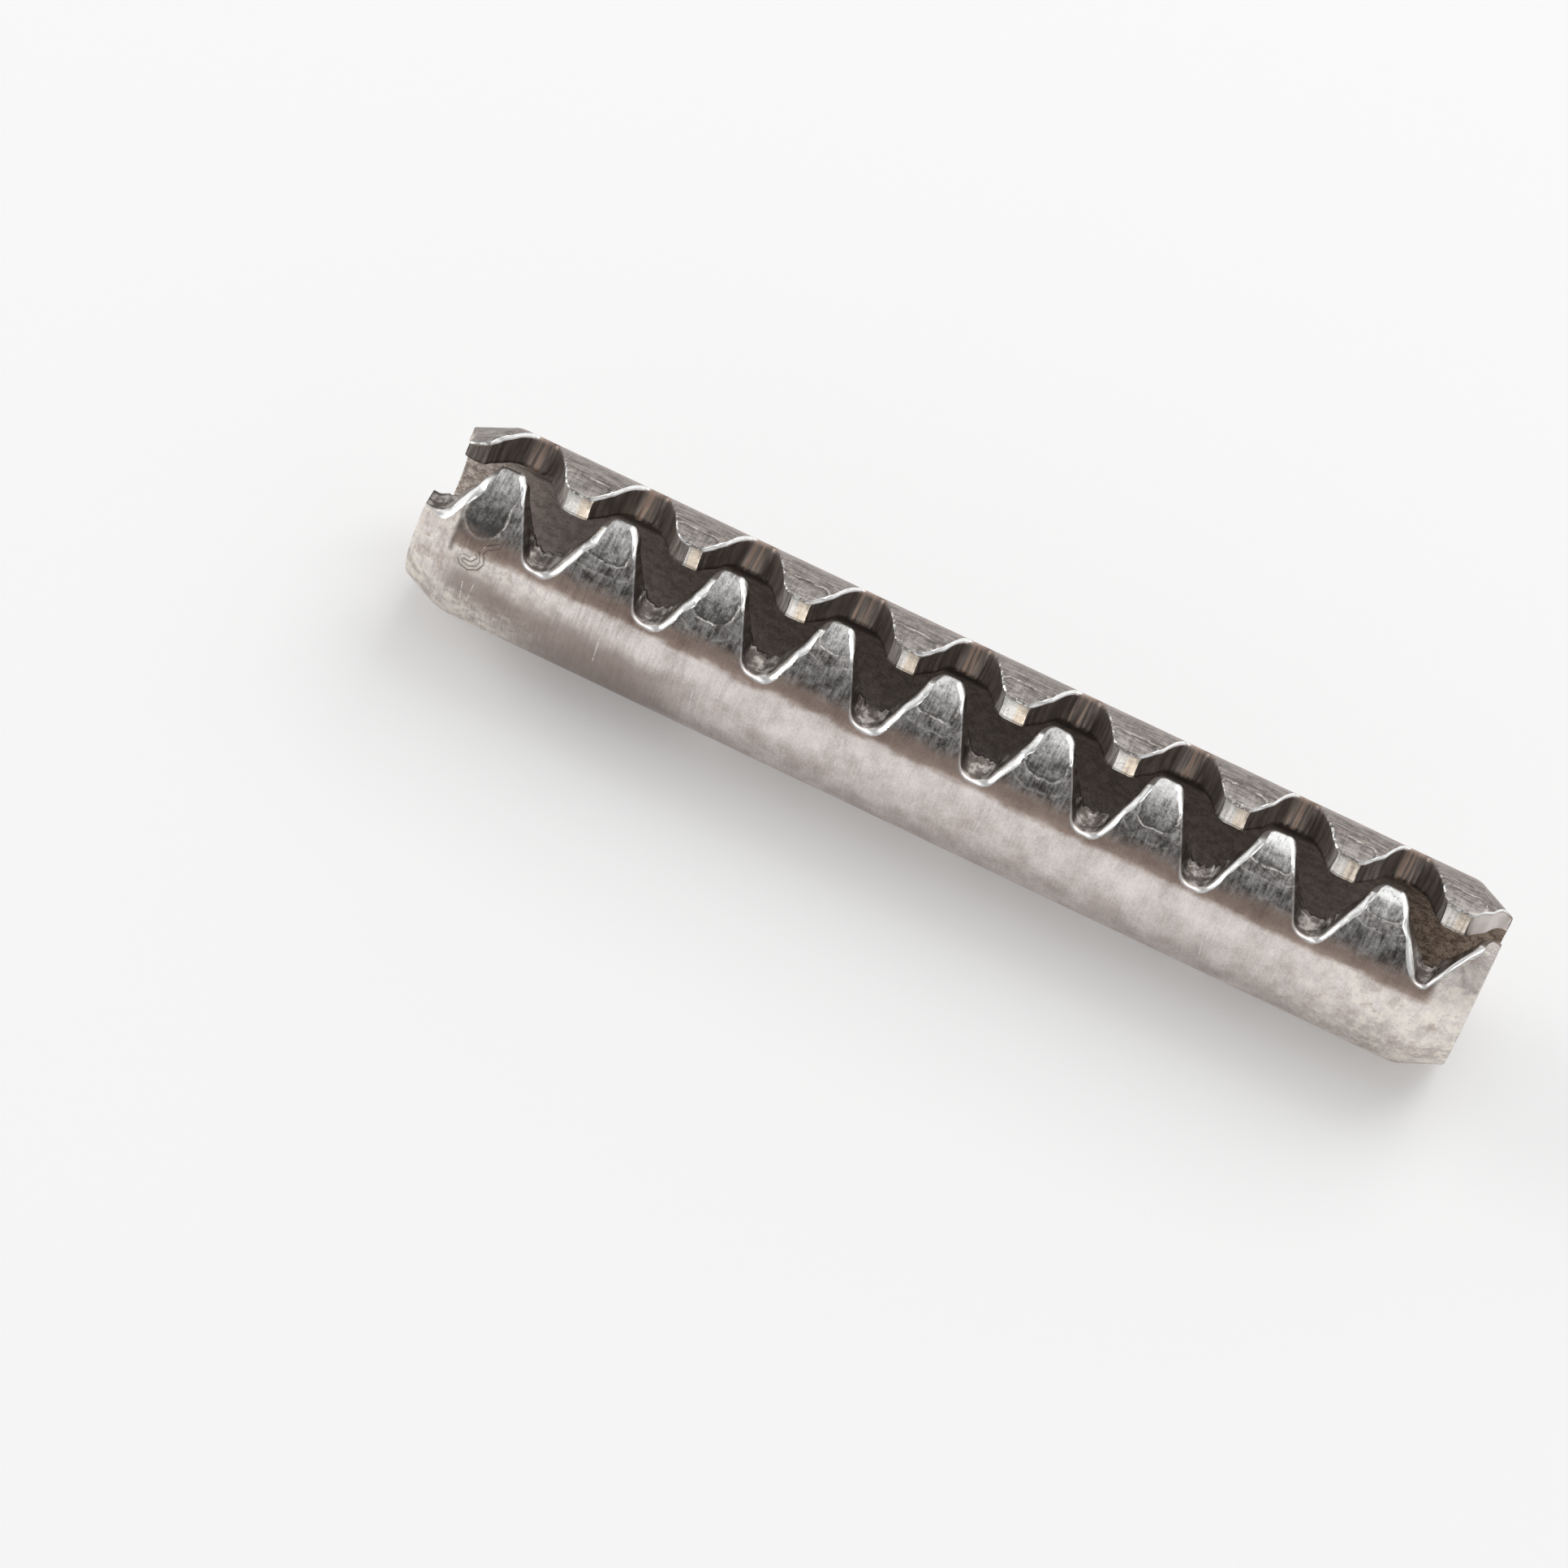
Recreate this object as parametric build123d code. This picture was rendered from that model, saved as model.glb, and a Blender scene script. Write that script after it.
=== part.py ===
from build123d import *
import os
from math import atan2, ceil, cos, degrees, radians, sin

# A slotted spring pin: one strip of spring steel, cut with wavy edges and rolled up into
# an open tube. The two edges face each other across a slot of even width that winds from
# side to side, so each edge has a row of teeth. Millimetres throughout. The pin lies along
# X as it settles on a table, with its slot up (+Z), and the origin is on its axis, halfway.

# Tube
pin_length = 50.0
free_diameter = 8.75  # unsprung, for a hole of 8 mm
wall = 1.5

# Ends, both alike
lead_length = 2.0
rim_diameter = 7.0
shoulder_radius = 1.5

# Slot and teeth, measured along the rounded outside
slot_gap = 4.5
tooth_height = 3.7
tooth_pitch = 5.23
tooth_flat = 1.05
corner_radius = 0.45
first_valley = 0.5  # from the left end to the middle of the front edge's first valley
front_lean = 12.0  # degrees by which the front edge is further into the slot on the inside
edge_steps = 4  # stretches in which each straight or arc of the wavy line is rolled up

# Pressed tips of the teeth
facet_length = 1.75
tip_drop = 0.25

radius = free_diameter / 2
bore_radius = radius - wall
rim_radius = rim_diameter / 2
end = pin_length / 2
half_pitch = tooth_pitch / 2
half_gap = degrees(slot_gap / 2 / radius)
tip_angle = half_gap - degrees(tooth_height / 2 / radius)
facet_angle = tip_angle + degrees(facet_length / radius)


def on_section(angle, distance):
    """Point of a cross-section, at an angle from the top towards +Y and a distance from the axis."""
    return Vector(0, distance * sin(radians(angle)), distance * cos(radians(angle)))


def make_tube():
    """The closed tube, with a tapered lead at each end that meets the body at a soft shoulder."""
    half = FilletPolyline(
        (0, radius), (end - lead_length, radius), (end, rim_radius), radius=shoulder_radius
    )
    half += Line((end, rim_radius), (end, bore_radius))
    outline = half + mirror(half, Plane.YZ) + Line((-end, bore_radius), (end, bore_radius))
    return revolve(Plane.XZ * make_face(outline), Axis.X)


def make_press_cut():
    """What the press takes off the outside of both rows of tips, as one roof-shaped bar."""
    ridge = [on_section(side * tip_angle, radius - tip_drop) for side in (-1, 1)]
    facet_ends = [on_section(side * facet_angle, radius) for side in (-1, 1)]
    eaves = [low + (low - high) for low, high in zip(facet_ends, ridge)]
    top = [Vector(0, low.Y, free_diameter) for low in eaves]
    roof = Face(Wire.make_polygon([top[0], eaves[0], *ridge, eaves[1], top[1]], close=True))
    return extrude(roof, amount=pin_length, dir=(1, 0, 0), both=True)


def make_flat_slot():
    """The middle line of the slot in the flat strip: straight flanks between rounded turns."""
    turns = []
    for count in range(-1, ceil(pin_length / half_pitch) + 2):
        along = first_valley - end + count * half_pitch
        across = tooth_height / 2 if count % 2 else -tooth_height / 2
        turns += [(along - tooth_flat / 2, across), (along + tooth_flat / 2, across)]
    return FilletPolyline(*turns, radius=corner_radius)


def cutter_side(angle, lean):
    """Inner and outer end of the straight line that cuts the wall at one edge of the slot."""
    inside = on_section(angle + lean, bore_radius)
    outside = on_section(angle, radius)
    reach = (outside - inside).normalized() * wall
    return inside - reach, outside + reach


def slot_section(mark):
    """Corners of the slot's cross-section at one point of its middle line in the flat strip."""
    middle = degrees(mark.Y / radius)
    front_in, front_out = cutter_side(middle - half_gap, front_lean)
    rear_in, rear_out = cutter_side(middle + half_gap, 0)
    return [Vector(mark.X, 0, 0) + corner for corner in (front_in, front_out, rear_out, rear_in)]


def make_slot():
    """The slot as a solid: the flat middle line, rolled up around the pin and given its width."""
    middle = make_flat_slot()
    faces = []
    for edge in middle.edges():
        sections = [slot_section(edge @ (step / edge_steps)) for step in range(edge_steps + 1)]
        lines = [Spline(*line) for line in zip(*sections)]
        for line, next_line in zip(lines, lines[1:] + lines[:1]):
            faces.append(Face.make_surface_from_curves(line, next_line))
    for mark in (middle @ 0, middle @ 1):
        faces.append(Face(Wire.make_polygon(slot_section(mark), close=True)))
    return Solid(Shell(faces))


def settle(pin):
    """The pin turned about its axis until its weight lies straight below it."""
    weight = pin.center(CenterOf.MASS)
    return Rot(X=degrees(atan2(-weight.Y, -weight.Z))) * pin


pin = settle(make_tube() - make_press_cut() - make_slot())
os.makedirs("parts", exist_ok=True)
export_step(pin, "parts/spring_pin.step")
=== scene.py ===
from math import cos, pi, radians, sin, tan
from types import SimpleNamespace

import bpy
import numpy as np
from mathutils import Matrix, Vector, noise


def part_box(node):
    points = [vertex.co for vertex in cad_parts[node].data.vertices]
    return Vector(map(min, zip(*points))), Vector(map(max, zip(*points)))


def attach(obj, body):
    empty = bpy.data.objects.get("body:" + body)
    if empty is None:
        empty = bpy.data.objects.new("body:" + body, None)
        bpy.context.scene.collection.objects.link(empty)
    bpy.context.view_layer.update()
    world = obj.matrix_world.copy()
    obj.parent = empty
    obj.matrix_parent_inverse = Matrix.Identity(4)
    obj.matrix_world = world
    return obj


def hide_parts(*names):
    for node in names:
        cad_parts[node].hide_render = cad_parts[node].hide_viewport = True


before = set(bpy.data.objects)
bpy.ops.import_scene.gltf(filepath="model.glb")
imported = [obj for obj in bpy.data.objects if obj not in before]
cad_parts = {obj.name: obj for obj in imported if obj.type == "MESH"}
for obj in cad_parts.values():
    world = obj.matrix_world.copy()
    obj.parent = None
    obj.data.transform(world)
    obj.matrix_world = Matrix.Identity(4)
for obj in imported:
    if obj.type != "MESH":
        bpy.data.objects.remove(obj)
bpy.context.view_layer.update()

# The strip.
# The pin starts as one flat strip of spring steel. A punch cuts both long edges to the same
# wave, so that each edge gets a row of teeth. All sizes of the pin are in millimetres.

mm = 0.001
low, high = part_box("spring_pin")
half_length = high.x / mm
radius = -low.z / mm
wall = 1.5
slot_gap = 4.5
tooth_height = 3.7
tooth_pitch = 5.23
first_valley = 0.5
valley_count = int(2 * half_length / tooth_pitch)
uneven = 0.04
chance = np.random.default_rng(8)

# A turn of the wave has two corners: their places along the pin from its middle, then how
# round they are. The rear flank bends once more beside each tip, and the turns at the two
# ends of the pin are shallower than the rest.
front_tip = (-0.85, 0.50, 0.6, 0.6)
front_valley = (-0.60, 0.46, 0.72, 0.75)
rear_tip = (-0.50, 0.74, 0.8, 0.35)
rear_valley = (-0.45, 0.62, 0.24, 0.42)
last_valley = (-0.14, 0.25, 0.28, 0.28)
bend_along, bend_across, bend_round = 1.50, 1.15, 0.8
front_end_shift, rear_end_shift, last_shift = 0.56, 0.60, 0.35

corner_points = 12
line_step = 0.02
column_step = 0.14
end_steps = [0.0, 0.015, 0.04, 0.08, 0.13]
end_reach = 0.6


def rounded_line(corners, rounds):
    """A run of straight lines with each corner rounded off, as closely spaced points."""
    points = [np.array(corners[0])]
    for before, corner, after, size in zip(corners, corners[1:], corners[2:], rounds[1:]):
        back = np.subtract(before, corner) / np.linalg.norm(np.subtract(before, corner))
        onward = np.subtract(after, corner) / np.linalg.norm(np.subtract(after, corner))
        half_turn = np.arccos(back @ onward) / 2
        inward = (back + onward) / np.linalg.norm(back + onward)
        centre = corner + inward * size / sin(half_turn)
        start = corner + back * size / tan(half_turn) - centre
        stop = corner + onward * size / tan(half_turn) - centre
        sweep = pi - 2 * half_turn
        for share in np.linspace(0, 1, corner_points):
            arm = start * sin((1 - share) * sweep) + stop * sin(share * sweep)
            points.append(centre + arm / sin(sweep))
    points.append(np.array(corners[-1]))
    points = np.array(points)
    reach = np.concatenate([[0], np.cumsum(np.linalg.norm(np.diff(points, axis=0), axis=1))])
    marks = np.arange(0, reach[-1], line_step)
    return np.stack([np.interp(marks, reach, points[:, axis]) for axis in (0, 1)], 1)


def punched_wave(front):
    """One wavy edge of the flat strip: places along the pin, and around it from the slot's middle."""
    tip, valley = (front_tip, front_valley) if front else (rear_tip, rear_valley)
    corners, rounds = [], []
    for count in range(-1, 2 * valley_count + 4):
        swing = 1 if count % 2 else -1
        turn = tip if (swing > 0) == front else valley
        if front and count == 2 * valley_count:
            turn = last_valley
        along = first_valley - half_length + count * tooth_pitch / 2 + chance.normal(0, uneven)
        across = swing * tooth_height / 2 + (-slot_gap if front else slot_gap) / 2
        across += chance.normal(0, uneven)
        if count == 0:
            across += front_end_shift if front else rear_end_shift
        if turn is last_valley:
            across += last_shift
        corners += [(along + turn[0], across), (along + turn[1], across)]
        rounds += turn[2:]
        if turn is rear_tip:
            corners.append((along + bend_along, across + bend_across))
            rounds.append(bend_round)
    return rounded_line(corners, rounds)


front_wave, rear_wave = punched_wave(True), punched_wave(False)
visible_wave = front_wave[abs(front_wave[:, 0]) < half_length]
steps = np.linalg.norm(np.diff(visible_wave, axis=0), axis=1)
travel = np.concatenate([[0], np.cumsum(steps)])
columns = np.interp(np.arange(0, travel[-1], column_step), travel, visible_wave[:, 0])
end_columns = half_length - np.array(end_steps)
columns = columns[abs(columns) < end_columns[-1] - column_step / 3]
columns = np.unique(np.concatenate([-end_columns, columns, end_columns]))
end_fade = np.clip((half_length - abs(columns)) / end_reach, 0, 1)

# Rolling up.
# The strip is bent round into an open tube. The teeth are the last to bend, so each row stays
# flatter than the rest and meets it at a soft fold line. The ends are turned down to a lead.

fold_angle = 57.0
fold_turn = 7.0
fold_softness = 0.3
fold_margin = 0.15
tip_drop = 0.27
lead_length = 2.0
rim_radius = 3.5
shoulder_radius = 1.5
rim_round = 0.07
bore_radius = radius - wall
fold = radians(fold_angle) * radius
fold_row = fold + fold_margin
tip_line = (slot_gap - tooth_height) / 2


def smooth(share):
    share = np.clip(share, 0, 1)
    return share * share * (3 - 2 * share)


def lead(x):
    """Radius of the outside along the pin: straight body, soft shoulder, tapered lead."""
    fall = (radius - rim_radius) / lead_length
    into = abs(x) - (half_length - lead_length)
    spread = shoulder_radius * tan(np.arctan(fall) / 2)
    shoulder = radius - (into + spread) ** 2 / (2 * shoulder_radius)
    profile = np.where(into > spread, radius - fall * into, shoulder)
    profile = np.where(into < -spread, radius, profile)
    past = np.clip(abs(x) - (half_length - rim_round), 0, rim_round)
    return profile - (rim_round - np.sqrt(rim_round**2 - past**2))


def bore(x):
    """Radius of the bore, with the sharp edge at its mouth just broken."""
    past = np.clip(abs(x) - (half_length - rim_round / 2), 0, rim_round / 2)
    return bore_radius + past**2 / rim_round


def tooth_sink(around):
    """How far inside the round a tooth lies, at a distance around from the middle of the slot."""
    beyond = np.clip(fold - abs(around), 0, None)
    fall = tan(radians(fold_turn))
    bend = (fall * (fold - tip_line) - tip_drop) / (fold - tip_line) ** 2
    soft = beyond**2 / (2 * fold_softness)
    eased = np.where(beyond < fold_softness, soft, beyond - fold_softness / 2)
    return fall * eased - bend * beyond**2


# Pressing the teeth.
# A die pushes the tips down and leaves the outline of its face on them. Each tooth of the
# front row has its own mark: how far off the tip's middle, how wide, how far down, how
# rounded at its lower corners, how deep, and how strong the painted highlight at its top is.

front_marks = [
    (-0.35, 0.88, 3.35, 0.80, 0.10, 0.0),
    (-0.20, 0.95, 1.90, 0.35, 0.04, 0.1),
    (-0.20, 0.92, 2.40, 0.70, 0.045, 0.3),
    (0.0, 0.80, 1.20, 0.60, 0.02, 0.1),
    (-0.12, 0.80, 1.90, 0.30, 0.045, 0.4),
    (-0.08, 0.90, 2.30, 0.60, 0.04, 0.5),
    (-0.05, 0.85, 2.20, 0.45, 0.045, 0.6),
    (-0.08, 0.88, 1.50, 0.30, 0.04, 1.0),
    (-0.05, 0.85, 1.40, 0.50, 0.05, 1.0),
]
rear_mark = (0.15, 1.05, 1.30, 0.35, 0.06, 0.0)
mark_step = 0.25
far_off = 2.0


def from_outline(x, around, centre, half_width, bottom, corner):
    """Distance from a mark's outline, below zero inside it: a tongue with rounded lower corners."""
    beside = abs(x - centre) - (half_width - corner)
    below = abs(around) - tip_line - (bottom - corner)
    outside = np.hypot(np.clip(beside, 0, None), np.clip(below, 0, None))
    return outside + np.minimum(np.maximum(beside, below), 0) - corner


def nearest_mark(x, around):
    """Distance from the outline of the mark on the tooth at hand, its depth and the strength of its
    painted highlight.
    """
    away = np.full_like(x, far_off)
    depth, rubbing = np.zeros_like(x), np.zeros_like(x)
    start = first_valley - half_length
    places = [(start + (number + 0.5) * tooth_pitch, -1, mark)
              for number, mark in enumerate(front_marks)]
    places += [(start + number * tooth_pitch, 1, rear_mark) for number in range(valley_count + 1)]
    for middle, row, (shift, half_width, bottom, corner, deep, rub) in places:
        near = (around * row > 0) & (abs(x - middle) < tooth_pitch / 2)
        off = from_outline(x, around, middle + shift, half_width, bottom, corner)
        away = np.where(near, off, away)
        depth = np.where(near, deep, depth)
        rubbing = np.where(near, rub, rubbing)
    return away, depth, rubbing


def pressed(x, around):
    """How much deeper the marks of the die are than the tooth around them."""
    away, depth = nearest_mark(x, around)[:2]
    return depth * smooth(0.5 - away / mark_step)


# The edges.
# The punch leaves each edge with a rounded, burnished corner outside, a smooth sheared band,
# a rougher broken band and a burr at the inner corner. The rounded corner is wide on the flanks
# that were cut last and narrow on the others, and its shine there is part burnish and part
# painted highlight. The tips are drawn out into a thin lip.

narrow_round, wide_round, rear_round = 0.06, 0.58, 0.11
tip_corner, tip_corner_growth = 0.18, 0.8
round_raggedness, round_grain = 0.35, 0.7
narrowing_right = SimpleNamespace(start=3.0, reach=7.0, share=0.25)
narrowing_end = SimpleNamespace(start=22.3, reach=0.5, share=0.45)
roundness = 1.6
foot_share = 0.45
flank_gain = 1.3
lip_reach, tip_lip = 1.0, 0.5

shine_start, shine_fade, shine_growth = 0.45, 0.15, 0.7
narrow_shine, valley_shine, valley_share = 0.12, 0.5, 0.25
arc_end, arc_fade, arc_gain, arc_offset = 1.4, 0.6, 2.6, 0.2
torn_start, torn_end, torn_fade, torn_round = 20.7, 22.4, 0.4, 0.22

front_lean, rear_lean = 12.0, -3.0
burr, burr_grain, burr_level, least_burr = 0.25, 0.2, 0.4, 0.15
hollow_face, broken_face, broken_grain, sheared_share = 0.05, 0.04, 0.3, 0.4
tooth_dents, tooth_dent_size = 0.012, 0.6
body_dents, body_dent_size, body_dent_fade = 0.004, 2.5, 2.0


def rough(x, around, size, seed):
    """Seeded unevenness between -1 and 1."""
    places = np.stack([x / size, around / size, np.full_like(x, seed)], 1)
    return np.array([noise.noise(Vector(place)) for place in places])


def narrowed(narrowing):
    """Share of its width that the burnishing keeps past a place along the pin."""
    return 1 - narrowing.share * smooth((columns - narrowing.start) / narrowing.reach)


def cut_edge(wave, front):
    """One edge: places, direction into the slot, width of its rounded corner, and shine.

    Its drop is how far it is from the line of the tips, as a share of the teeth's height.
    """
    across = np.interp(columns, wave[:, 0], wave[:, 1])
    slope = np.gradient(across, columns)
    slope[:3] = slope[3]
    slope[-3:] = slope[-4]
    sign = 1 if front else -1
    into = np.stack([-slope, np.ones_like(slope)], 1) * sign
    into /= np.linalg.norm(into, axis=1)[:, None]
    into[:, 0] *= end_fade
    into[:, 1] = sign * np.sqrt(1 - into[:, 0] ** 2)

    drop = (abs(across) - tip_line) / tooth_height
    below_tip = drop * tooth_height
    wide = smooth(-into[:, 0] * sign * flank_gain)
    widest = wide_round * (1 - (1 - foot_share) * drop) if front else rear_round
    widest = widest * narrowed(narrowing_right) * narrowed(narrowing_end)
    rounding = narrow_round + (widest - narrow_round) * wide
    # The shine is part burnish and part painted highlight: it is painted on the flanks that face one
    # way, along the front valleys and in an arc beside each front tip.
    shine = wide
    if front:
        tip = smooth(1 - below_tip / lip_reach)
        valley = smooth((drop - 1 + valley_share) / valley_share)
        shine = wide + (narrow_shine + valley_shine * valley) * (1 - wide)
        started = smooth((below_tip - shine_start) / shine_fade)
        grown = np.clip((below_tip - shine_start) / shine_growth, 0, 1)
        arc = smooth((arc_end - below_tip) / arc_fade)
        arc *= np.clip(into[:, 0] * arc_gain - arc_offset, 0, 1)
        corner = tip_corner * (1 + tip_corner_growth * abs(into[:, 0]))
        rounding += (corner - rounding) * np.maximum(tip, (1 - grown) * wide)
        torn = smooth((columns - torn_start) / torn_fade) * smooth((torn_end - columns) / torn_fade)
        rounding += torn_round * torn * (1 - wide)
        shine = np.maximum(np.maximum(shine * started, arc), torn)
        across = across + tip_lip * tip
    rounding *= 1 + round_raggedness * rough(columns, across, round_grain, seed=5.0 * sign)
    return SimpleNamespace(front=front, sign=sign, place=np.stack([columns, across], 1), into=into,
                           rounding=rounding, shine=shine, drop=drop)


def on_outside(x, around, sink):
    angle = around / radius
    hollow = tooth_sink(around) + pressed(x, around)
    dents = tooth_dents * smooth(fold - abs(around))
    hollow += dents * (1 + rough(x, around, tooth_dent_size, seed=3.0))
    dents = body_dents * smooth((pi * radius - abs(around)) / body_dent_fade)
    hollow += dents * (1 + rough(x, around, body_dent_size, seed=9.0))
    r = np.minimum(lead(x), radius - hollow) - sink
    return np.stack([x, r * np.sin(angle), r * np.cos(angle)], 1)


def on_inside(angle):
    r = bore(columns)
    return np.stack([columns, r * np.sin(angle), r * np.cos(angle)], 1)


def mouth_angle(edge):
    """Angle at which the broken face of an edge comes out in the bore, with its ragged burr."""
    lean, sign = (front_lean, 1) if edge.front else (rear_lean, -1)
    across = edge.place[:, 1]
    ragged = np.clip(burr_level + rough(columns, across, burr_grain, seed=11.0 * sign), 0, 1)
    ragged = ragged * (least_burr + (1 - least_burr) * smooth(edge.drop * 2 - 1))
    return across / radius + radians(lean) + sign * burr * ragged / bore_radius * end_fade


front_edge, rear_edge = cut_edge(front_wave, True), cut_edge(rear_wave, False)
front_mouth, rear_mouth = mouth_angle(front_edge), mouth_angle(rear_edge)

# The skin.
# The steel has one closed skin: round the outside from the rear edge to the front one, down
# that edge's thickness, back through the bore and up the rear edge. It is laid in rows along
# the pin, and each place remembers where on the flat strip it is, what happened to it and
# what painted highlight it carries.

round_lines, fan_lines, face_lines = 5, 26, 8
near_lines, back_lines = 5, 12
inner_fan, inner_back = 6, 10
fan_crowding = 1.15
near_steps = (0.15, 0.6)
bore_room = 6.0
seam_gap = 0.02

# What each place remembers: how far it is from the edge (1 where the rounded corner ends),
# how much shine it has, part burnish and part painted highlight, whether it is on a cut face,
# in the bore or by the front edge, how far it is below the tips, how far from the die's outline,
# and how strong the painted highlight at the top of its tooth is.
mask_names = ("band", "shine", "cut", "inside", "front", "drop", "die", "rub")
rows, flats, masks = [], [], []


def everywhere(value):
    return np.full(len(columns), value)


def add_row(points, flat, **mask):
    rows.append(points)
    flats.append(flat)
    masks.append([np.broadcast_to(mask.get(name, 0.0), len(columns)) for name in mask_names])


def outer_row(spot, sink, **mask):
    away, _, rubbing = nearest_mark(spot[:, 0], spot[:, 1])
    flat = np.column_stack([spot, np.broadcast_to(sink, len(columns))])
    add_row(on_outside(spot[:, 0], spot[:, 1], sink), flat, die=away, rub=rubbing, **mask)


def inner_row(angle, **mask):
    flat = np.column_stack([columns, angle * radius, everywhere(wall)])
    add_row(on_inside(angle), flat, inside=1.0, die=far_off, band=far_off, **mask)


def outer_lines(edge):
    """Rows from an edge to its fold: place, how far below the surface, and distance in widths."""
    lines = []
    for share in np.linspace(0, 1, round_lines + 1):
        inset = edge.rounding * (1 - cos(share * pi / 2) ** roundness)
        sink = edge.rounding * (1 - sin(share * pi / 2) ** roundness)
        lines.append((edge.place - edge.into * inset[:, None], sink, share))
    start = lines[-1][0]
    stop = np.column_stack([columns, everywhere(-edge.sign * fold_row)])
    for share in np.linspace(0, 1, fan_lines + 1)[1:] ** fan_crowding:
        spot = start + (stop - start) * share
        lines.append((spot, 0.0, 1 + np.linalg.norm(spot - start, axis=1) / wide_round))
    return lines


def cut_face(edge, mouth, corner, share):
    """One line down the thickness of an edge, hollowed a little and rough in its lower part."""
    points = corner + (on_inside(mouth) - corner) * share
    across = points[:, 1:] / np.linalg.norm(points[:, 1:], axis=1)[:, None]
    turn = np.stack([across[:, 1], -across[:, 0]], 1)
    broken = rough(columns, edge.place[:, 1] + share * 3, broken_grain, seed=7.0)
    push = (-hollow_face + broken_face * (share > sheared_share) * broken) * sin(pi * share)
    points[:, 0] += edge.into[:, 0] * push * end_fade
    points[:, 1:] += turn * (edge.into[:, 1] * push)[:, None]
    flat = np.column_stack([edge.place, everywhere(share * wall)])
    add_row(points, flat, cut=1.0, front=float(edge.front), drop=edge.drop,
            die=far_off, band=far_off)


for spot, sink, band in outer_lines(rear_edge):
    outer_row(spot, sink, band=band, shine=rear_edge.shine, drop=rear_edge.drop)
near = fold_row + np.cumsum(np.geomspace(*near_steps, near_lines))
far = np.linspace(near[-1], pi * radius - seam_gap, back_lines + 1)[1:]
half_way = np.concatenate([near, far])
for around in np.concatenate([half_way, -half_way[::-1]]):
    outer_row(np.column_stack([columns, everywhere(around)]), 0.0, band=far_off)
for spot, sink, band in outer_lines(front_edge)[::-1]:
    outer_row(spot, sink, band=band, shine=front_edge.shine, drop=front_edge.drop, front=1.0)
rear_corner, front_corner, front_corner_row = rows[0], rows[-1], len(rows) - 1

face_shares = np.linspace(0, 1, face_lines + 1)[1:-1]
for share in face_shares:
    cut_face(front_edge, front_mouth, front_corner, share)
room = radians(fold_angle + bore_room)
front_mouth_row = len(rows)
inner_row(front_mouth, cut=1.0, front=1.0, drop=front_edge.drop)
for share in np.linspace(0, 1, inner_fan + 1)[1:]:
    inner_row(front_mouth + (-room - front_mouth) * share)
under = np.linspace(room, pi - seam_gap / bore_radius, inner_back + 1)[1:]
for angle in np.concatenate([-under, under[::-1]]):
    inner_row(everywhere(angle))
for share in np.linspace(1, 0, inner_fan + 1)[:-1]:
    inner_row(rear_mouth + (room - rear_mouth) * share)
rear_mouth_row = len(rows)
inner_row(rear_mouth, cut=1.0, drop=rear_edge.drop)
for share in face_shares[::-1]:
    cut_face(rear_edge, rear_mouth, rear_corner, share)

# Putting the pin together.
# The left end is rubbed back at its rear corner, and both ends are closed by flat rings cut
# open at the slot. The pin lies turned a little about its axis, so that its weight is
# straight below it.

rubbed_back, rubbed_reach = 0.40, 2.0
rubbed_start, rubbed_spread = radians(52), radians(16)
settle = radians(1.804)

grid = np.array(rows)
turns = np.arctan2(grid[..., 1], grid[..., 2])
from_corner = smooth((rubbed_start - turns) / rubbed_spread) * (turns > 0)
from_end = smooth((-half_length + rubbed_reach - grid[..., 0]) / rubbed_reach)
grid[..., 0] += rubbed_back * from_corner * from_end
grid = np.stack([grid[..., 0],
                 grid[..., 1] * cos(settle) - grid[..., 2] * sin(settle),
                 grid[..., 1] * sin(settle) + grid[..., 2] * cos(settle)], -1)
numbers = np.arange(grid.shape[0] * grid.shape[1]).reshape(grid.shape[:2])
left, right = numbers[:, :-1], numbers[:, 1:]
sides = np.stack([left, right, np.roll(right, -1, 0), np.roll(left, -1, 0)], -1).reshape(-1, 4)


def ring_faces(column):
    """The rows each face of one end spans: a face at either edge, and narrow ones in between."""
    turn = np.unwrap(turns[:, column])
    outer, last_outer = round_lines, front_corner_row - round_lines
    inner, last_inner = rear_mouth_row, front_mouth_row
    faces = [[*range(inner, len(rows)), *range(outer + 1)], [*range(last_outer, last_inner + 1)]]
    while (outer, inner) != (last_outer, last_inner):
        if inner == last_inner or (outer < last_outer and turn[outer + 1] < turn[inner - 1]):
            faces.append([outer, outer + 1, inner])
            outer += 1
        else:
            faces.append([outer, inner - 1, inner])
            inner -= 1
    return faces


rings = [numbers[face, 0].tolist() for face in ring_faces(0)]
rings += [numbers[face[::-1], -1].tolist() for face in ring_faces(-1)]
mesh = bpy.data.meshes.new("pin_body")
mesh.from_pydata((grid.reshape(-1, 3) * mm).tolist(), [], sides.tolist() + rings)
mesh.polygons.foreach_set("use_smooth", [True] * len(sides) + [False] * len(rings))
layer = mesh.attributes.new("strip", "FLOAT_VECTOR", "POINT")
layer.data.foreach_set("vector", np.array(flats).reshape(-1))
for place, name in enumerate(mask_names):
    layer = mesh.attributes.new(name, "FLOAT", "POINT")
    layer.data.foreach_set("value", np.array([mask[place] for mask in masks]).reshape(-1))
mesh.update()
pin = bpy.data.objects.new("pin_body", mesh)
bpy.context.scene.collection.objects.link(pin)

# The steel.
# The pin is plain hardened spring steel with no plating. Its finish is one metal, left in
# different states by the rolling, the punch, the die and wear. Each zone below is painted by
# where it lies on the strip, with a few patterns that all of the steel has, and some zones
# also carry painted light and shade.

seed_steps = (17.3, 5.1, 9.7)

steel = bpy.data.materials.new("spring_steel")
steel.use_nodes = True
nodes, links = steel.node_tree.nodes, steel.node_tree.links
shader = nodes["Principled BSDF"]


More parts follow.
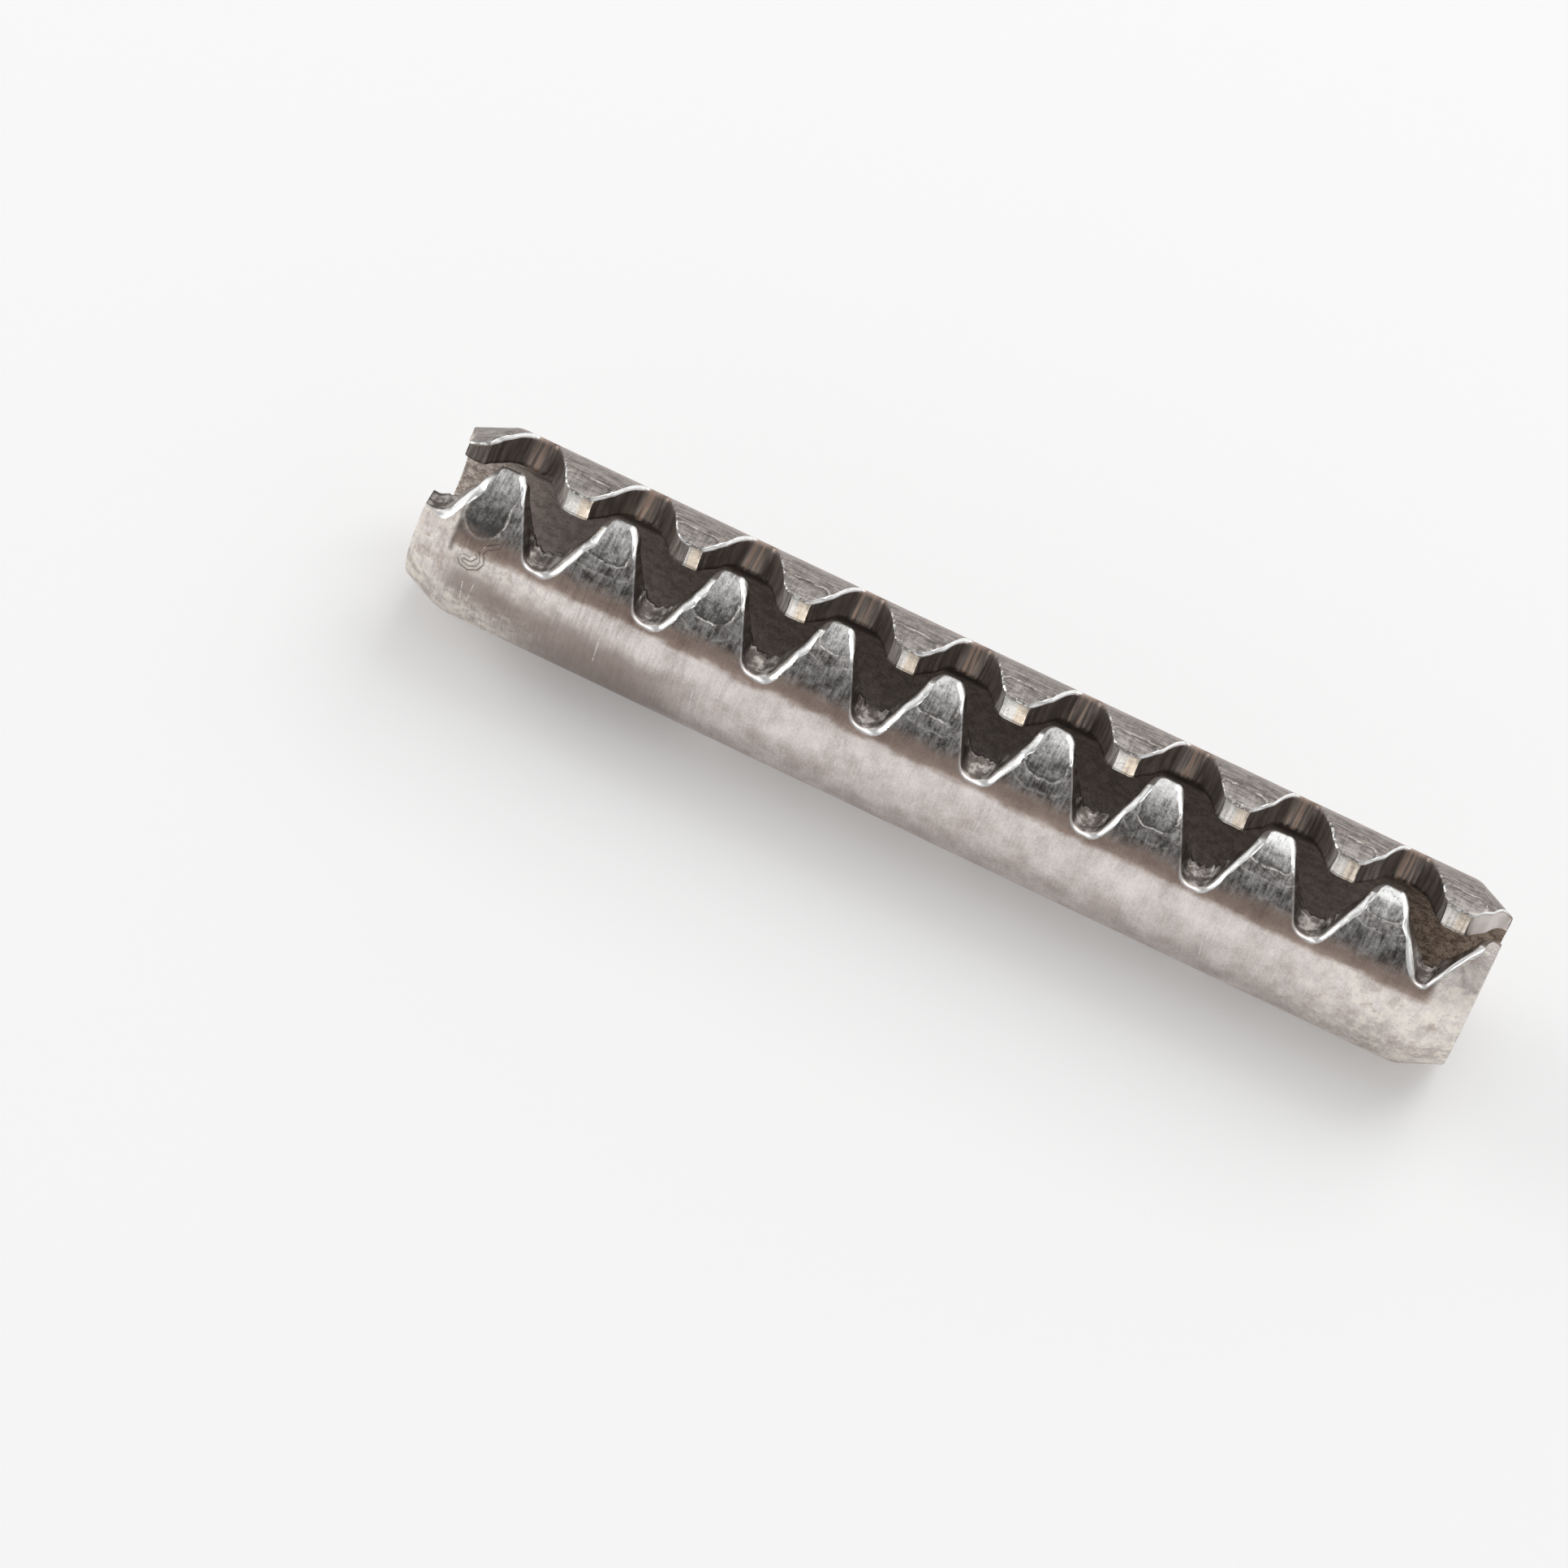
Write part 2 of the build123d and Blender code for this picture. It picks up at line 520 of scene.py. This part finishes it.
def feed(socket, value):
    if isinstance(value, bpy.types.NodeSocket):
        links.new(value, socket)
    else:
        socket.default_value = value


def stored(name, output="Fac"):
    node = nodes.new("ShaderNodeAttribute")
    node.attribute_name = name
    return node.outputs[output]


def maths(operation, first, second=0.0):
    node = nodes.new("ShaderNodeMath")
    node.operation = operation
    feed(node.inputs[0], first)
    feed(node.inputs[1], second)
    return node.outputs[0]


def total(*parts):
    result = parts[0]
    for part in parts[1:]:
        result = maths("ADD", result, part)
    return result


def times(*parts):
    result = parts[0]
    for part in parts[1:]:
        result = maths("MULTIPLY", result, part)
    return result


def rest(share):
    return maths("SUBTRACT", 1.0, share)


def ramp(value, places, ends=(0.0, 1.0)):
    """Soft step from the first end value to the second, between two places."""
    node = nodes.new("ShaderNodeMapRange")
    node.interpolation_type = "SMOOTHSTEP"
    for name, number in (("Value", value), ("From Min", places[0]), ("From Max", places[1]),
                         ("To Min", ends[0]), ("To Max", ends[1])):
        feed(node.inputs[name], number)
    return node.outputs["Result"]


def line_at(value, place, width):
    """Soft line where a value is close to a place."""
    return ramp(maths("ABSOLUTE", maths("SUBTRACT", value, place)), (width, 0.0))


def blend(factor, under, over):
    node = nodes.new("ShaderNodeMix")
    node.data_type = "RGBA"
    feed(node.inputs["Factor"], factor)
    feed(node.inputs["A"], (*under, 1) if isinstance(under, tuple) else under)
    feed(node.inputs["B"], (*over, 1) if isinstance(over, tuple) else over)
    return node.outputs["Result"]


def grain(along, around, seed, detail=4.0, roughness=0.6):
    """Noise over the flat strip, with its cell size along and around the pin in millimetres."""
    place = nodes.new("ShaderNodeVectorMath")
    place.operation = "MULTIPLY_ADD"
    feed(place.inputs[0], stored("strip", "Vector"))
    place.inputs[1].default_value = (1 / along, 1 / around, 1 / around)
    place.inputs[2].default_value = [seed * step for step in seed_steps]
    node = nodes.new("ShaderNodeTexNoise")
    links.new(place.outputs[0], node.inputs["Vector"])
    node.inputs["Scale"].default_value = 1.0
    node.inputs["Detail"].default_value = detail
    node.inputs["Roughness"].default_value = roughness
    return node.outputs["Fac"]


# The phase runs along the pin from -0.5 to 0.5 over each tooth of the rear row, with 0 at its
# tip. The front row is half a pitch out of step, so its valleys lie where the phase is 0.
split = nodes.new("ShaderNodeSeparateXYZ")
links.new(stored("strip", "Vector"), split.inputs[0])
along, around, deep = split.outputs["X"], split.outputs["Y"], split.outputs["Z"]
from_middle = maths("ABSOLUTE", along)
from_slot = maths("ABSOLUTE", around)
band, shine, cut, inside, front, drop, die, rub = (stored(name) for name in mask_names)
rear = rest(front)
pitches = maths("DIVIDE", maths("ADD", along, half_length - first_valley), tooth_pitch)
phase = maths("SUBTRACT", maths("FRACT", maths("ADD", pitches, 0.5)), 0.5)

speckle = grain(0.09, 0.10, seed=1.0, detail=5.0, roughness=0.7)
fine_lines = grain(0.10, 1.2, seed=2.0, roughness=0.65)
cloud = grain(1.3, 1.5, seed=3.0, detail=5.0)
streaks = grain(0.14, 0.9, seed=4.0, detail=5.0, roughness=0.65)
patches = grain(0.40, 0.45, seed=5.0, detail=5.0, roughness=0.65)
slow = maths("SUBTRACT", grain(1.6, 0.9, seed=6.0, detail=2.0), 0.5)
quick = maths("SUBTRACT", grain(0.5, 0.5, seed=11.0, detail=3.0), 0.5)

# The body.
# Below the teeth the steel is satin and warm grey. It has brush lines round it that grow
# stronger to the left and mottled worn patches near both ends. It is painted darker towards
# the left, towards its underside and in a patch low at the left end of the front, as painted shade.

body_dark, body_light = (0.42, 0.365, 0.34), (0.86, 0.795, 0.765)
body_limits = (0.28, 0.70)
# The body is painted darker towards the left and towards its underside, as painted shade.
brush_and_shade_stretch = (-8.0, -17.0)
brushed_strength, left_shade = (0.15, 0.45), (0.05, -0.10)
under_stretch, under_shade = (5.0, 8.5), (0.03, -0.07)
tone = total(times(speckle, 0.3),
             times(fine_lines, ramp(along, brush_and_shade_stretch, brushed_strength)),
             times(cloud, 0.45),
             ramp(along, brush_and_shade_stretch, left_shade),
             ramp(from_slot, under_stretch, under_shade))
body_tone = ramp(tone, body_limits)
body = blend(body_tone, body_dark, body_light)

worn_brown, worn_cream = (0.42, 0.34, 0.28), (0.95, 0.90, 0.80)
worn_limits = (0.38, 0.52)
worn_stretch, worn_patches, worn_amount = (14.0, 22.5), (0.40, 0.62), 0.6
worn_tone = ramp(grain(0.8, 0.9, seed=15.0), worn_limits)
worn = times(ramp(from_middle, worn_stretch), ramp(patches, worn_patches), worn_amount)
body = blend(worn, body, blend(worn_tone, worn_brown, worn_cream))

# A patch of painted shade low at the left end of the front.
low_shade_colour, low_shade_amount = (0.27, 0.215, 0.19), 0.80
low_shade_start, low_shade_end = (-9.5, -14.0), (-23.9, -22.2)
low_shade_left, low_shade_slope = -24.0, 0.07
low_shade_edge, low_shade_side = (4.3, 5.8), (0.0, -0.5)
clear_start, clear_edge = (-17.0, -21.0), (6.2, 7.2)
low_shade_line = total(from_slot, times(maths("SUBTRACT", along, low_shade_left), -low_shade_slope),
                   times(slow, 1.2), times(quick, 0.5))
clear_below = times(ramp(along, clear_start), ramp(low_shade_line, clear_edge))
low_shade = times(ramp(along, low_shade_start), ramp(along, low_shade_end), ramp(low_shade_line, low_shade_edge),
              ramp(around, low_shade_side), rest(clear_below), low_shade_amount)
body = blend(low_shade, body, low_shade_colour)

# The teeth.
# A brown band runs along the fold at their foot. Above it both rows are painted darker than
# the body, partly for a duller finish and partly as painted shade. The front row is dark and
# mottled with streaks up the teeth, and the rear row is a plainer brown-grey with marks along it.

foot_dark, foot_light = (0.20, 0.145, 0.12), (0.42, 0.33, 0.285)
foot_edge, tooth_edge = (fold + 0.30, fold - 0.10), (fold - 0.40, fold - 1.20)
foot_line = total(from_slot, times(slow, 0.7), times(quick, 0.3))
foot = blend(body_tone, foot_dark, foot_light)
colour = blend(ramp(foot_line, foot_edge), body, foot)

# The teeth's dark colours are partly a duller finish and partly painted shade.
front_dark, front_light = (0.06, 0.054, 0.05), (0.46, 0.445, 0.435)
front_limits = (0.38, 0.66)
tooth_tone = total(times(streaks, 0.35), times(patches, 0.45), times(speckle, 0.2))
front_tooth = blend(ramp(tooth_tone, front_limits), front_dark, front_light)

rear_dark, rear_light = (0.125, 0.105, 0.095), (0.385, 0.34, 0.31)
rear_limits = (0.38, 0.62)
marks_along = grain(0.9, 0.16, seed=16.0)
rear_tone = total(times(tooth_tone, 0.5), times(marks_along, 0.5))
rear_tooth = blend(ramp(rear_tone, rear_limits), rear_dark, rear_light)
on_tooth = ramp(foot_line, tooth_edge)
colour = blend(on_tooth, colour, blend(rear, front_tooth, rear_tooth))

# The die's marks.
# Inside its outline the die has left each tip smoother. There the tip is painted darker towards
# the foot as painted shade, and on some teeth it has a painted highlight at the top. The outline
# itself is a low ridge, painted as a broken highlight line with painted shade along its inner
# edge and a fainter echo outside.

facet_dark, facet_light = (0.10, 0.098, 0.095), (0.44, 0.435, 0.427)
facet_limits = (0.36, 0.64)
# The facet is painted darker towards the foot as painted shade.
facet_fall, facet_shade = (0.6, 3.4), (0.25, -0.55)
facet_edge, facet_raggedness = (0.08, -0.08), 0.35
facet_on_rear, more_on_front = 0.3, 0.5
die_line = total(die, times(quick, facet_raggedness))
facet_amount = total(times(front, more_on_front), facet_on_rear)
facet = times(ramp(die_line, facet_edge), on_tooth, facet_amount)
facet_tone = total(ramp(tooth_tone, facet_limits), ramp(from_slot, facet_fall, facet_shade))
colour = blend(facet, colour, blend(facet_tone, facet_dark, facet_light))

# A painted highlight at the top of some tips.
rubbed_colour, rubbed_amount = (0.88, 0.88, 0.87), 0.68
rubbed_fall, rubbed_limits = (1.20, 0.60), (0.34, 0.50)
rubbed_top = times(ramp(from_slot, rubbed_fall), ramp(tooth_tone, rubbed_limits), facet, rub)
colour = blend(times(rubbed_top, rubbed_amount), colour, rubbed_colour)

shade_colour, shade_amount = (0.05, 0.045, 0.042), 0.6
shade_place, shade_width, shade_start = -0.08, 0.12, (0.8, 2.0)
shade = times(line_at(die_line, shade_place, shade_width), on_tooth, shade_amount)
colour = blend(times(shade, ramp(from_slot, shade_start)), colour, shade_colour)

# The outline's bright line and its echo are painted highlight.
outline_highlight, broken_limits = (0.78, 0.74, 0.71), (0.42, 0.54)
outline_place, outline_width, outline_amount = 0.04, 0.08, 0.55
echo_place, echo_width, echo_amount = 0.65, 0.10, 0.3
broken = ramp(grain(0.5, 0.5, seed=10.0), broken_limits)
first_line = times(line_at(die_line, outline_place, outline_width), outline_amount)
echo = times(line_at(die_line, echo_place, echo_width), echo_amount)
outline = times(total(first_line, echo), broken, on_tooth)
colour = blend(outline, colour, outline_highlight)

# Scratches and other marks of wear.
# Short scratches cross the body. At the left there is a crack in the fold and a thin curl of
# burr pressed flat, and on both leads the front row is rubbed down to the body's grey. The
# lip at the tips of the front row is dark.

scratches = [((-19.4, -4.6), (-18.5, -5.1)), ((-15.6, -5.6), (-15.6, -7.0)),
             ((-11.0, -6.0), (-10.95, -7.2)), ((-22.1, -6.0), (-22.0, -7.1)),
             ((-21.6, -5.9), (-21.7, -7.0)), ((-9.9, -4.9), (-9.9, -5.8)),
             ((-4.2, -4.9), (-4.1, -6.4)), ((2.6, -5.7), (2.5, -6.6)),
             ((13.4, -6.4), (13.5, -7.4))]
fold_crack = [((-23.12, -3.4), (-23.12, -4.7))]
curl = [(-21.20, -3.75), (-21.65, -4.02), (-21.76, -4.30), (-21.58, -4.75), (-21.72, -5.05),
        (-22.08, -5.22), (-22.45, -5.12), (-22.58, -4.94), (-22.42, -4.78), (-22.10, -4.80),
        (-21.95, -4.60)]
scratch_width, crack_width, curl_width = 0.05, 0.24, 0.19
scratch_amount, crack_amount = 0.5, 0.7
scratch_patches = (0.35, 0.5)
ridge_limits, groove_limits = (0.45, 0.85), (0.05, 0.45)
groove_patches, groove_strength = (0.35, 0.5), (0.3, 0.65)


def strokes(pairs, width):
    """Soft straight marks on the flat strip, from one place to another."""
    result = 0.0
    for (x0, y0), (x1, y1) in pairs:
        length = np.hypot(x1 - x0, y1 - y0)
        beside = maths("SUBTRACT", along, (x0 + x1) / 2)
        below = maths("SUBTRACT", around, (y0 + y1) / 2)
        onward = total(times(beside, (x1 - x0) / length), times(below, (y1 - y0) / length))
        aside = total(times(beside, (y0 - y1) / length), times(below, (x1 - x0) / length))
        past = maths("MAXIMUM", maths("SUBTRACT", maths("ABSOLUTE", onward), length / 2), 0.0)
        away = maths("SQRT", total(times(aside, aside), times(past, past)))
        result = maths("MAXIMUM", result, ramp(away, (width, 0.0)))
    return result


patchy = ramp(grain(0.3, 0.3, seed=18.0), scratch_patches)
scratched = times(strokes(scratches, scratch_width), patchy, scratch_amount)
cracked = times(strokes(fold_crack, crack_width), crack_amount)
curled = strokes(list(zip(curl, curl[1:])), curl_width)
ridge = ramp(curled, ridge_limits)
groove = times(ramp(curled, groove_limits), rest(ridge),
               ramp(patches, groove_patches, groove_strength))

lead_stretch, lead_side, lead_amount = (22.9, 23.4), (1.5, -0.5), 0.85
scratch_colour, crack_colour = (0.95, 0.92, 0.90), (0.12, 0.092, 0.078)
lead_line = total(from_middle, times(quick, 0.4))
rubbed_lead = times(ramp(lead_line, lead_stretch), ramp(around, lead_side), lead_amount)
colour = blend(rubbed_lead, colour, body)
colour = blend(maths("MAXIMUM", cracked, groove), colour, crack_colour)
colour = blend(scratched, colour, scratch_colour)

lip_colour, lip_amount = (0.15, 0.125, 0.11), 0.85
lip_width, lip_fall, lip_dullness = (1.1, 0.8), (0.26, 0.16), (0.7, 0.2)
lip = times(ramp(band, lip_width), ramp(drop, lip_fall), front, ramp(shine, lip_dullness))
colour = blend(times(lip, lip_amount), colour, lip_colour)

# The cut faces.
# The punch leaves the steel's thickness dark, with fine stripes down it that are browner in
# the rear valleys. The front valleys are torn and grey. The rear tips have a bright sheared
# patch, white on its left and creamy on its right, and paler steel to the left of it.

face_dark, face_light = (0.105, 0.086, 0.075), (0.22, 0.183, 0.160)
front_face_dark, front_face_light = (0.17, 0.14, 0.122), (0.36, 0.31, 0.28)
face_limits = (0.36, 0.66)
shear = grain(0.16, 3.0, seed=7.0, detail=3.0)
shear_dark = blend(front, face_dark, front_face_dark)
shear_light = blend(front, face_light, front_face_light)
face = blend(ramp(shear, face_limits), shear_dark, shear_light)

brown_stripe, stripe_limits = (0.32, 0.23, 0.18), (0.50, 0.60)
between_tips = (0.40, 0.47)
striped = ramp(grain(0.16, 4.0, seed=12.0, detail=1.0), stripe_limits)
striped = times(striped, ramp(maths("ABSOLUTE", phase), between_tips))
face = blend(striped, face, brown_stripe)

pale_dark, pale_light = (0.36, 0.31, 0.275), (0.85, 0.80, 0.74)
pale_limits = (0.36, 0.6)
pale_start, pale_end = (-0.18, -0.08), (0.165, 0.15)
patch_white, patch_cream = (0.88, 0.855, 0.81), (0.90, 0.77, 0.63)
patch_turn = (0.03, 0.07)
patch_start, patch_end, patch_spread = (0.122, 0.130), (0.158, 0.150), 0.35
tip_fall, first_tip = (0.25, 0.10), (-24.0, -23.0)
at_tip = times(ramp(drop, tip_fall), ramp(along, first_tip), rear)
by_tooth = grain(2.5, 30.0, seed=21.0, detail=0.0)
patch_line = total(phase, times(by_tooth, patch_spread))
at_pale = times(ramp(phase, pale_start), ramp(phase, pale_end), at_tip)
at_patch = times(ramp(patch_line, patch_start), ramp(phase, patch_end), at_tip)

band_limits, band_strength = (0.35, 0.55), (0.60, 1.0)
dull_tooth_limits, dull_tooth_strength = (0.38, 0.55), (0.70, 1.0)
dull_stretch, dull_strength = (6.0, 12.0), (1.0, 0.65)
banded = times(ramp(grain(0.22, 3.0, seed=8.0, detail=2.0), band_limits, band_strength),
               ramp(by_tooth, dull_tooth_limits, dull_tooth_strength),
               ramp(along, dull_stretch, dull_strength))
pale = blend(ramp(shear, pale_limits), pale_dark, pale_light)
patch = blend(ramp(phase, patch_turn), patch_white, patch_cream)
face = blend(times(at_pale, banded), face, pale)
face = blend(times(at_patch, banded), face, patch)

rubbed_face, rubbed_face_amount = (0.80, 0.73, 0.69), 0.85
last_stretch = (23.2, 23.6)
at_right_end = times(ramp(along, last_stretch), rear)
face = blend(times(at_right_end, rubbed_face_amount), face, rubbed_face)

valley_dark, valley_light = (0.14, 0.12, 0.108), (0.50, 0.47, 0.435)
valley_limits, valley_fall = (0.40, 0.64), (0.50, 0.85)
valley_sides, valley_slant = (-0.10, 0.10), (-0.07, 0.04)
valley_tone = total(grain(0.50, 0.40, seed=13.0, detail=3.0),
                    ramp(phase, valley_sides, valley_slant))
torn_valley = blend(ramp(valley_tone, valley_limits), valley_dark, valley_light)
face = blend(times(front, ramp(drop, valley_fall)), face, torn_valley)
colour = blend(cut, colour, face)

# The bore.
# Inside, the steel is dull and grey-brown, with painted shadow under the rear edge. Near the
# left mouth it is painted pale as painted light coming in at the open end, and near the right
# one it turns dark brown.

bore_dark, bore_light = (0.33, 0.285, 0.265), (0.57, 0.51, 0.475)
bore_limits = (0.40, 0.60)
# Painted shadow in the bore under the rear edge.
bore_shadow, bore_shadow_amount = (0.07, 0.055, 0.05), 0.85
bore_shadow_start, bore_shadow_end = (0.0, 0.3), (6.0, 5.0)
bore_tone = ramp(total(times(speckle, 0.5), times(patches, 0.5)), bore_limits)
shadowed_bore = times(ramp(around, bore_shadow_start), ramp(around, bore_shadow_end), bore_shadow_amount)
bore_colour = blend(shadowed_bore, blend(bore_tone, bore_dark, bore_light), bore_shadow)

# Near the left mouth the bore is painted pale, as painted light coming in at the open end.
left_dark, left_light = (0.36, 0.30, 0.26), (0.95, 0.86, 0.79)
right_dark, right_light = (0.15, 0.108, 0.084), (0.60, 0.48, 0.385)
halfway, mouth_stretch = (-1.0, 1.0), (20.5, 24.5)
mouth_raggedness, right_reach = 2.5, 2.2
at_right = ramp(along, halfway)
mouth_dark = blend(at_right, left_dark, right_dark)
mouth_light = blend(at_right, left_light, right_light)
mouth_line = total(from_middle, times(quick, mouth_raggedness), times(at_right, right_reach))
mouth_colour = blend(bore_tone, mouth_dark, mouth_light)
bore_colour = blend(ramp(mouth_line, mouth_stretch), bore_colour, mouth_colour)
in_bore = times(inside, rest(cut))
colour = blend(in_bore, colour, bore_colour)

# The burnished corners and their painted highlight.
# Where the punch has rubbed the corner of an edge it is almost white, part burnish and part
# painted highlight. The line is broad on one flank of each front tooth and faint on the other,
# as the painted highlight follows which way a flank faces, and thin beside the rear edge, whose
# tips have only specks and painted glints of it.

# The near-white colour of the corner lines is part burnish and part painted highlight.
burnish_and_highlight = (0.96, 0.96, 0.95)
bright_edge, bright_raggedness = (0.08, -0.08), 0.25
tip_fade = (0.36, 0.22)
front_reach, rear_reach = (1.10, 1.45), (-0.15, -0.50)
shine_limits, shine_strength = (0.30, 0.50), (0.75, 1.0)
reach = total(ramp(drop, tip_fade, front_reach), times(rear, ramp(drop, tip_fade, rear_reach)))
bright_line = maths("SUBTRACT", total(band, times(quick, bright_raggedness)), reach)
mottled = ramp(grain(0.3, 0.3, seed=9.0, detail=3.0), shine_limits, shine_strength)
line = times(shine, ramp(bright_line, bright_edge), mottled)

speck_limits, speck_amount = (0.66, 0.70), 0.9
speck_width, speck_fall = (1.5, 0.8), (0.9, 0.5)
glint_limits, glint_amount = (0.50, 0.56), 0.8
glint_width, glint_fall = (1.15, 0.7), (0.7, 0.4)
specks = times(ramp(grain(0.13, 0.13, seed=14.0, detail=1.0), speck_limits),
               ramp(band, speck_width), ramp(drop, speck_fall), speck_amount)
glints = times(ramp(grain(0.22, 0.22, seed=19.0, detail=2.0), glint_limits),
               ramp(band, glint_width), ramp(drop, glint_fall), glint_amount)
bright = maths("MAXIMUM", line, times(maths("MAXIMUM", specks, glints), rear))
bright = times(bright, rest(cut))
colour = blend(bright, colour, burnish_and_highlight)
links.new(colour, shader.inputs["Base Color"])

# Gloss and relief.
# Oxide dulls the bore and the rear cut faces. The burnished and highlight-painted places are
# glossier than the rest, and the lip is dull. Grain, marks and scratches stand a few hundredths
# of a millimetre proud or deep, and the bright patches are tilted up a little.

bore_oxide, face_oxide = 0.8, 0.5
satin_limits, satin = (0.30, 0.70), (0.46, 0.36)
bright_gloss, patch_gloss, facet_gloss = -0.12, -0.14, -0.06
bore_roughness, lip_roughness = 0.2, 0.3
oxide = total(times(in_bore, bore_oxide), times(cut, rear, rest(at_patch), face_oxide))
links.new(rest(oxide), shader.inputs["Metallic"])
gloss = total(ramp(tone, satin_limits, satin),
              times(bright, bright_gloss), times(cut, at_patch, patch_gloss),
              times(facet, facet_gloss), times(in_bore, bore_roughness),
              times(lip, lip_roughness))
links.new(gloss, shader.inputs["Roughness"])

speckle_relief, line_relief = 0.008, 0.003
patch_relief, streak_relief, shear_relief = 0.05, 0.02, 0.02
outline_height, ridge_height, scratch_depth, facet_depth = 0.02, 0.06, 0.03, 0.03
facet_step = (0.06, -0.06)
patch_tilt, right_end_tilt = 1.08, 0.45
smoothed, smoothed_share = (0.2, 0.8), (1.0, 0.15)
tilt = maths("MAXIMUM", times(at_patch, patch_tilt), times(at_right_end, right_end_tilt))
height = total(times(speckle, speckle_relief), times(fine_lines, line_relief),
               times(patches, on_tooth, patch_relief), times(streaks, on_tooth, streak_relief),
               times(shear, cut, shear_relief), times(tilt, cut, deep),
               times(outline, outline_height), times(ridge, ridge_height),
               times(scratched, -scratch_depth),
               times(ramp(die_line, facet_step), on_tooth, -facet_depth))
height = times(height, ramp(bright, smoothed, smoothed_share))
bump = nodes.new("ShaderNodeBump")
bump.inputs["Strength"].default_value = 1.0
bump.inputs["Distance"].default_value = mm
links.new(height, bump.inputs["Height"])
links.new(bump.outputs["Normal"], shader.inputs["Normal"])

mesh.materials.append(steel)
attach(pin, "root")
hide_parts("spring_pin")

# The floor.
# A wide sheet of white card, which shows only the pin's shadow. It is lifted a little where
# the camera or the steel's mirror image sees it, so that it stays white there.

white = (1, 1, 1, 1)
card_colour, card_roughness, card_lift = (0.86, 0.86, 0.86, 1), 0.9, 0.16
floor_reach = 3.0
corners = [(-floor_reach, -floor_reach, low.z), (floor_reach, -floor_reach, low.z),
           (floor_reach, floor_reach, low.z), (-floor_reach, floor_reach, low.z)]
floor_mesh = bpy.data.meshes.new("floor")
floor_mesh.from_pydata(corners, [], [(0, 1, 2, 3)])
floor = bpy.data.objects.new("floor", floor_mesh)
bpy.context.scene.collection.objects.link(floor)

card = bpy.data.materials.new("white_card")
card.use_nodes = True
nodes, links = card.node_tree.nodes, card.node_tree.links
shader = nodes["Principled BSDF"]
shader.inputs["Base Color"].default_value = card_colour
shader.inputs["Roughness"].default_value = card_roughness
shader.inputs["Specular IOR Level"].default_value = 0.0
shader.inputs["Emission Color"].default_value = white
path = nodes.new("ShaderNodeLightPath")
seen = maths("MAXIMUM", path.outputs["Is Camera Ray"], path.outputs["Is Glossy Ray"])
seen = maths("MAXIMUM", seen, path.outputs["Is Transmission Ray"])
links.new(times(seen, card_lift), shader.inputs["Emission Strength"])
floor_mesh.materials.append(card)

# The light.
# A white room that darkens overhead, with a large soft lamp high behind, one overhead and one
# low at the left.

room_heights, room_strength = (0.15, 0.6), (1.0, 0.4)
world = bpy.data.worlds.new("studio")
bpy.context.scene.world = world
world.use_nodes = True
nodes, links = world.node_tree.nodes, world.node_tree.links
sky = nodes.new("ShaderNodeTexCoord")
split = nodes.new("ShaderNodeSeparateXYZ")
links.new(sky.outputs["Generated"], split.inputs[0])
strength = ramp(split.outputs["Z"], room_heights, room_strength)
links.new(strength, nodes["Background"].inputs["Strength"])
nodes["Background"].inputs["Color"].default_value = white


def soft_lamp(name, bearing, climb, distance, size, radiance):
    """A square lamp aimed at the pin. Bearing turns from +X towards +Y."""
    data = bpy.data.lights.new(name, "AREA")
    data.shape = "SQUARE"
    data.size = size
    data.energy = radiance * pi * size * size
    lamp = bpy.data.objects.new(name, data)
    bpy.context.scene.collection.objects.link(lamp)
    aim = Vector((cos(climb) * cos(bearing), cos(climb) * sin(bearing), sin(climb)))
    lamp.location = aim * distance
    lamp.rotation_euler = aim.to_track_quat("Z", "Y").to_euler()


soft_lamp("lamp_behind", radians(70), radians(50), distance=0.9, size=0.75, radiance=1.6)
soft_lamp("lamp_above", radians(90), radians(85), distance=1.2, size=0.9, radiance=0.8)
soft_lamp("lamp_left", radians(175), radians(18), distance=0.9, size=0.45, radiance=3.0)

# The camera.
# It stands in front of the pin and above it, and is tilted so that the pin slopes down to
# the right.

camera_place = (0.01948, -0.19065, 0.22455)
camera_turn = (radians(38.013), radians(-12.275), radians(22.979))
camera_lens = 155.96
nearest_seen = 0.01
camera_data = bpy.data.cameras.new("camera")
camera_data.lens = camera_lens
camera_data.clip_start = nearest_seen
camera = bpy.data.objects.new("camera", camera_data)
bpy.context.scene.collection.objects.link(camera)
camera.location = camera_place
camera.rotation_euler = camera_turn
bpy.context.scene.camera = camera
bpy.context.scene.view_settings.view_transform = "Standard"
